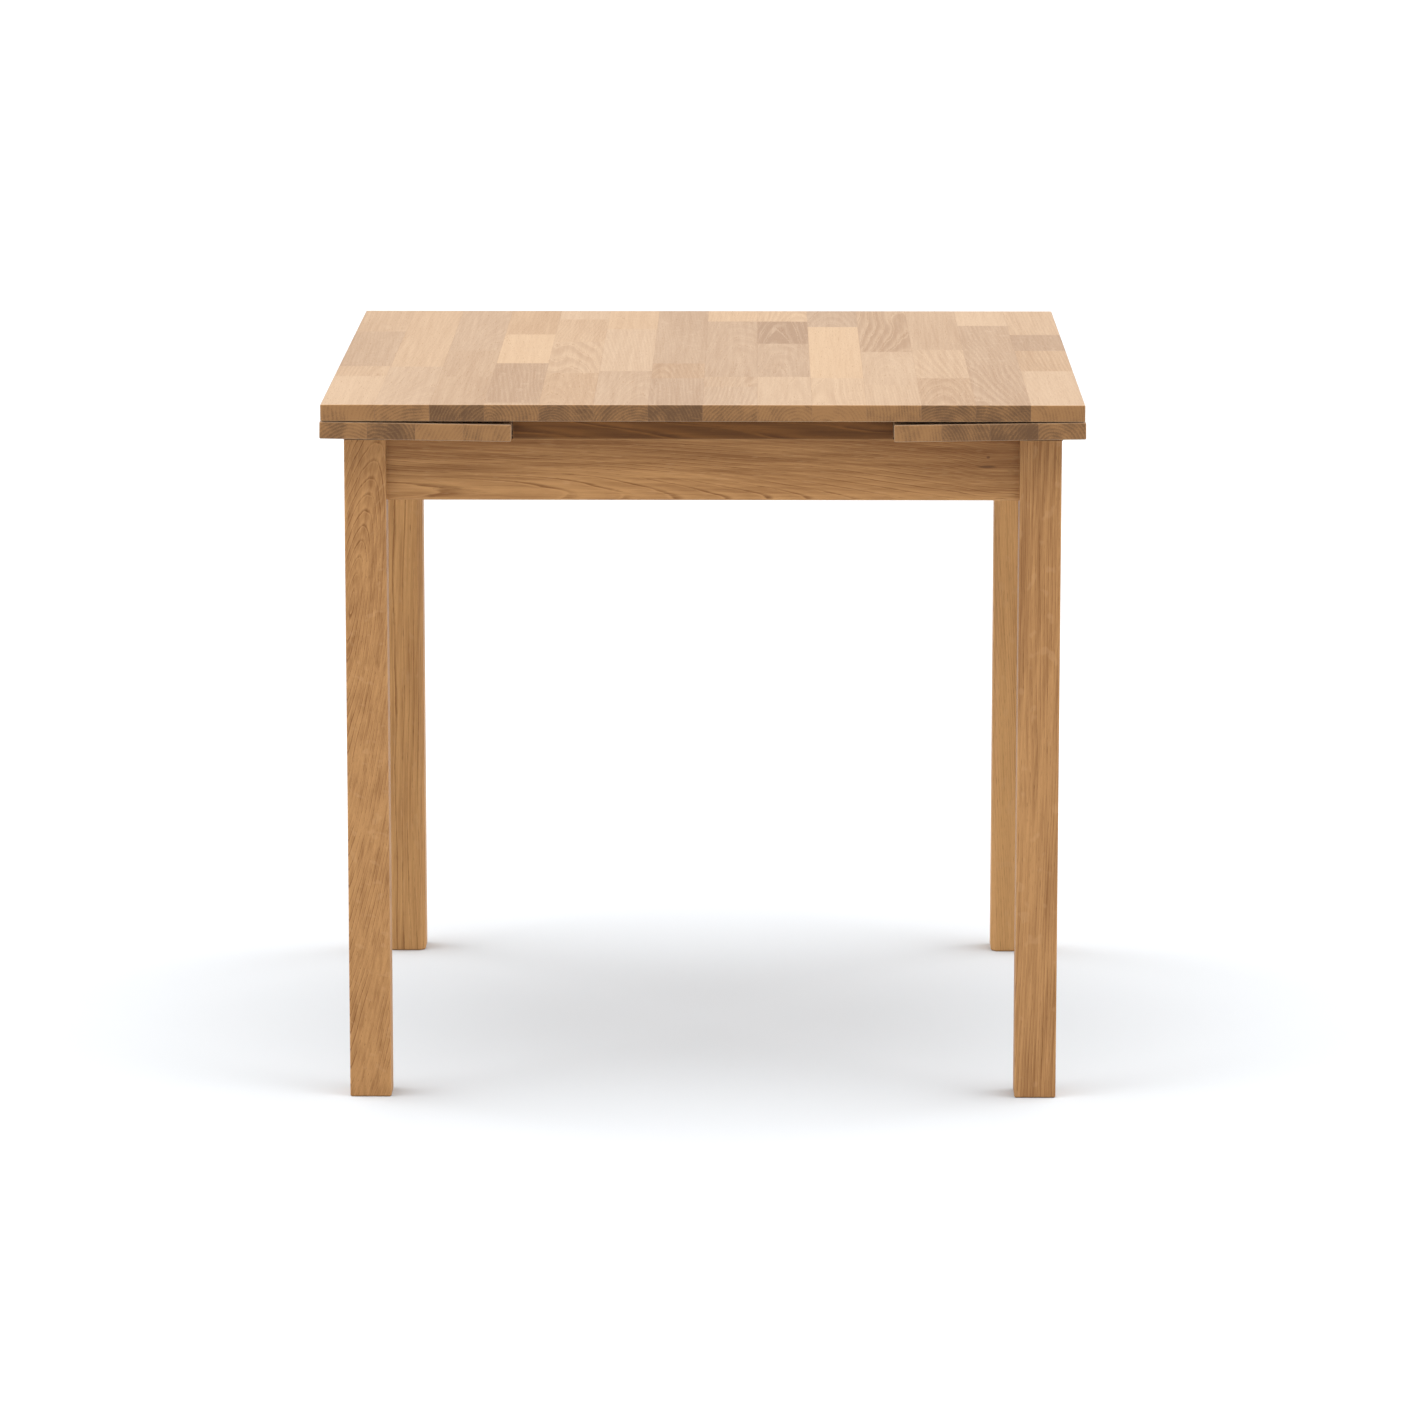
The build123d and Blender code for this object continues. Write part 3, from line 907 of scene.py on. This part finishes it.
def dress_node(node: str, finish: OakFinish, grain: Grain, seed: int, cut: Cut) -> None:
    """Gives a carried-over node wood cut from its own place in the log.

    Args:
        node: The CAD node.
        finish: Its oak.
        grain: The way its fibres run.
        seed: Seed of its place in the log.
        cut: Its look.
    """
    dice = random.Random(seed)
    bearing = dice.uniform(0.2, 1.3)
    reach = dice.uniform(45 * MM, 110 * MM)
    pith = (reach * math.cos(bearing), reach * math.sin(bearing))
    low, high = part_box(node)
    middle = tuple((low + high) / 2)
    place = WoodPlace(grain, middle, pith, dice.uniform(-4, 4), cut)
    repaint(node, finish.paint(node + "_oak", place, Arrises(middle, tuple((high - low) / 2))))


def repaint(node: str, material: bpy.types.Material) -> None:
    """Puts one material on a carried-over node."""
    slots = frame["nodes"][node].material_slots
    for slot in slots:
        slot.material = material
    log.info("%s: %s", node, material.name)


TOP_ACCENTS = (
    Accent(0, -95, 205, 0.72, 0.5),
    Accent(2, -180, 40, 0.62, 0.6),
    Accent(2, 40, 400, 0.62, 0.45),
    Accent(3, -385, -70, 0.72, 0.5, 0.8),
    Accent(3, -70, 180, 0.33, 1.0, 0.3),
    Accent(6, -70, 400, 0.66, 0.4),
    Accent(7, -180, 300, 0.68, 0.4),
    Accent(8, -180, 100, 0.66, 0.4),
    Accent(8, 100, 300, 0.72, 0.3, 2.6),
    Accent(9, -190, 250, 0.3, 1.0, 0.3),
    Accent(10, 30, 400, 0.56, 0.6, 1.2),
    Accent(13, 40, 180, 0.86, 0.35),
)


@dataclass
class Top:
    """The loose square top and the two pegs that find its place."""

    strips: int = 14
    seed: int = 11
    peg_seed: int = 71

    def build(self) -> None:
        """Builds and dresses the top, and dresses its pegs."""
        low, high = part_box("main_top")
        size = high - low
        placing = Matrix.Translation((low + high) / 2)
        board = StavedBoard(
            "main_top",
            "main_top",
            size.x,
            size.y,
            size.z,
            placing,
            self.seed,
            self.strips,
            accents=TOP_ACCENTS,
        )
        board.dress(board.build(), LIGHT_PAINTED_TOP_OAK)
        dress_node("top_pegs", INNER_OAK, Grain.ALONG_Z, self.peg_seed, Cut(0.35))


@dataclass
class Leaf:
    """A draw leaf, its two bearers, their screws and stop pins."""

    side: Side
    seed: int
    strips: int = 4

    @property
    def node(self) -> str:
        """The leaf's CAD node."""
        return f"{self.side.value}_leaf"

    @property
    def tilt(self) -> float:
        """Angle between the floor and the line that the leaf slides along."""
        axis = next(j["axis"] for j in frame["joints"] if j["child"] == self.node)
        return math.asin(axis[2] / Vector(axis).length)

    def build(self) -> None:
        """Builds and dresses the leaf, and dresses what is fixed to it."""
        low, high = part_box(self.node)
        size = high - low
        top_low, top_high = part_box("main_top")
        thickness = (top_high - top_low).z
        width = (size.x - thickness * math.sin(self.tilt)) / math.cos(self.tilt)
        lean = self.side.sign * self.tilt
        board = StavedBoard(
            self.node,
            self.node,
            width,
            size.y,
            thickness,
            Matrix.Translation((low + high) / 2) @ Matrix.Rotation(-lean, 4, "Y"),
            self.seed,
            self.strips,
            shortest=0.22,
            tilt=lean,
        )
        board.dress(board.build(), LIGHT_PAINTED_TOP_OAK)
        for number, end in enumerate(End):
            bearer = f"{self.node}_{end.value}_bearer"
            dress_node(bearer, INNER_OAK, Grain.ALONG_X, self.seed + number, Cut(0.4 + 0.1 * number))
        dress_node(f"{self.node}_stop_pins", INNER_OAK, Grain.ALONG_Z, self.seed + 5, Cut(0.5, 0.6))
        repaint(f"{self.node}_screws", ZINC.paint(f"{self.node}_screws_zinc"))


@dataclass
class Underframe:
    """Legs, aprons, rails, corner blocks and the fastenings that hold them."""

    seed: int = 300

    def build(self) -> None:
        """Dresses every piece of the frame."""
        self._dress_legs()
        self._dress_rails()
        self._dress_fastenings()

    def _dress_legs(self) -> None:
        """Legs, each from its own plank, with painted light on the rear ones and painted light and shade
        along the front-left one.
        """
        legs = {
            # Front-left leg: its fade darkens it towards its top and lightens it towards its foot, as painted
            # shade and painted floor-bounce light.
            (End.FRONT, Side.LEFT): (FRAME_OAK, Cut(0.32, 0.85, -0.16, 0.3)),
            (End.FRONT, Side.RIGHT): (FRAME_OAK, Cut(0.36, 0.8, -0.04)),
            # Rear legs: paler oak and lighter tones, as painted light on legs that the table shades.
            (End.REAR, Side.LEFT): (LIGHT_PAINTED_LEG_OAK, Cut(0.15, 0.9, -0.03)),
            (End.REAR, Side.RIGHT): (LIGHT_PAINTED_LEG_OAK, Cut(0.1, 0.9, 0.02)),
        }
        for number, ((end, side), (oak, cut)) in enumerate(legs.items()):
            corner = f"{end.value}_{side.value}"
            dress_node(f"{corner}_leg", oak, Grain.ALONG_Z, self.seed + number, cut)
            block_seed = self.seed + 20 + number
            dress_node(f"{corner}_corner_block", INNER_OAK, Grain.ALONG_Z, block_seed, Cut(0.4, 0.45))

    def _dress_rails(self) -> None:
        """Aprons, end rails, guide rails and the centre board."""
        low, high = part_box("front_apron")
        check = Knot(high.x - 34 * MM, low.z + 36 * MM, 11 * MM, 1.6 * MM, 3.0 * MM)
        pin_knot = Knot(high.x - 33 * MM, low.z + 46 * MM, 2.2 * MM, 1.6 * MM)
        for number, end in enumerate(End):
            knots = (check, pin_knot) if end is End.FRONT else ()
            seed = self.seed + 40 + number
            # The aprons' rise darkens them towards their upper edge: painted shade under the top's overhang.
            cut = Cut(0.5, 0.85, 0.02, painted_shade_rise=6.0, knots=knots)
            dress_node(f"{end.value}_apron", FRAME_OAK, Grain.ALONG_X, seed, cut)
        for number, side in enumerate(Side):
            end_rail, guide_rail = f"{side.value}_end_rail", f"{side.value}_guide_rail"
            dress_node(end_rail, FRAME_OAK, Grain.ALONG_Y, self.seed + 50 + number, Cut(0.5, 0.65))
            dress_node(guide_rail, INNER_OAK, Grain.ALONG_Y, self.seed + 60 + number, Cut(0.45))
        # The centre board takes the much darker oak: painted shade under the top's overhang.
        dress_node("centre_board", SHADE_PAINTED_BOARD_OAK, Grain.ALONG_X, self.seed + 70, Cut(0.55, 0.95, 0.01))
        dress_node("leg_dowels", INNER_OAK, Grain.ALONG_X, self.seed + 80, Cut(0.4))

    def _dress_fastenings(self) -> None:
        """Bolts, washers, nuts and screws."""
        steel = ZINC.paint("frame_zinc")
        hangers = ("hanger_bolts", "hanger_washers", "hanger_nuts")
        for node in (*hangers, "corner_block_screws", "centre_board_screws"):
            repaint(node, steel)


# ---------------------------------------------------------------- studio


@dataclass
class Studio:
    """Pale floor, soft even light and the camera."""

    floor_half: float = 60.0
    floor_colour: Colour = (0.60, 0.62, 0.64)
    sky: float = 0.42
    overhead: float = 3.1
    overhead_spread: float = 80.0
    flank: float = 1.8
    flank_height: float = 33.0
    flank_spread: float = 70.0
    camera_place: tuple[float, float, float] = (0.0597, -7.0553, 1.6690)
    camera_dip: float = 0.1836
    camera_turn: float = 0.0089
    lens_ratio: float = 4.570

    def build(self) -> None:
        """Makes the floor, the light and the camera."""
        self._lay_floor()
        self._light()
        self._set_camera()
        bpy.context.scene.view_settings.view_transform = "Standard"

    def _lay_floor(self) -> None:
        """A wide plain floor."""
        half = self.floor_half
        mesh = bpy.data.meshes.new("floor")
        corners = [(-half, -half, 0), (half, -half, 0), (half, half, 0), (-half, half, 0)]
        mesh.from_pydata(corners, [], [(0, 1, 2, 3)])
        floor = bpy.data.objects.new("floor", mesh)
        bpy.context.scene.collection.objects.link(floor)
        shader = Shader("floor_white")
        shader.surface.inputs["Base Color"].default_value = (*self.floor_colour, 1.0)
        shader.surface.inputs["Roughness"].default_value = 0.9
        shader.surface.inputs["Specular IOR Level"].default_value = 0.1
        mesh.materials.append(shader.material)

    def _light(self) -> None:
        """An even white surround, a broad light overhead and one at either side."""
        world = bpy.data.worlds.new("surround")
        world.use_nodes = True
        world.node_tree.nodes["Background"].inputs["Color"].default_value = (1, 1, 1, 1)
        world.node_tree.nodes["Background"].inputs["Strength"].default_value = self.sky
        bpy.context.scene.world = world
        self._hang_light("overhead", self.overhead, self.overhead_spread, 0.0)
        for side in Side:
            lean = side.sign * math.radians(90.0 - self.flank_height)
            self._hang_light(f"{side.value}_flank", self.flank, self.flank_spread, lean)

    @staticmethod
    def _hang_light(name: str, energy: float, spread: float, lean: float) -> None:
        """One broad distant light.

        Args:
            name: Its name.
            energy: Its strength in watts per square metre.
            spread: Its angular size in degrees.
            lean: Its angle from overhead towards the right, in radians.
        """
        lamp = bpy.data.lights.new(name, "SUN")
        lamp.energy = energy
        lamp.angle = math.radians(spread)
        light = bpy.data.objects.new(name, lamp)
        light.rotation_euler = (0.0, lean, 0.0)
        bpy.context.scene.collection.objects.link(light)

    def _set_camera(self) -> None:
        """A long lens in front of the table, a little above it."""
        eye = bpy.data.cameras.new("camera")
        eye.sensor_fit = "HORIZONTAL"
        eye.lens = self.lens_ratio * eye.sensor_width
        eye.clip_end = 200.0
        camera = bpy.data.objects.new("camera", eye)
        camera.location = self.camera_place
        camera.rotation_euler = (math.pi / 2 - self.camera_dip, 0.0, self.camera_turn)
        bpy.context.scene.collection.objects.link(camera)
        bpy.context.scene.camera = camera


def main() -> None:
    """Builds the table's looks, then the studio round it."""
    logging.basicConfig(level=logging.INFO, format="%(name)s: %(message)s")
    Underframe().build()
    for number, side in enumerate(Side):
        Leaf(side, 500 + 40 * number).build()
    Top().build()
    Studio().build()


if __name__ == "__main__":
    main()
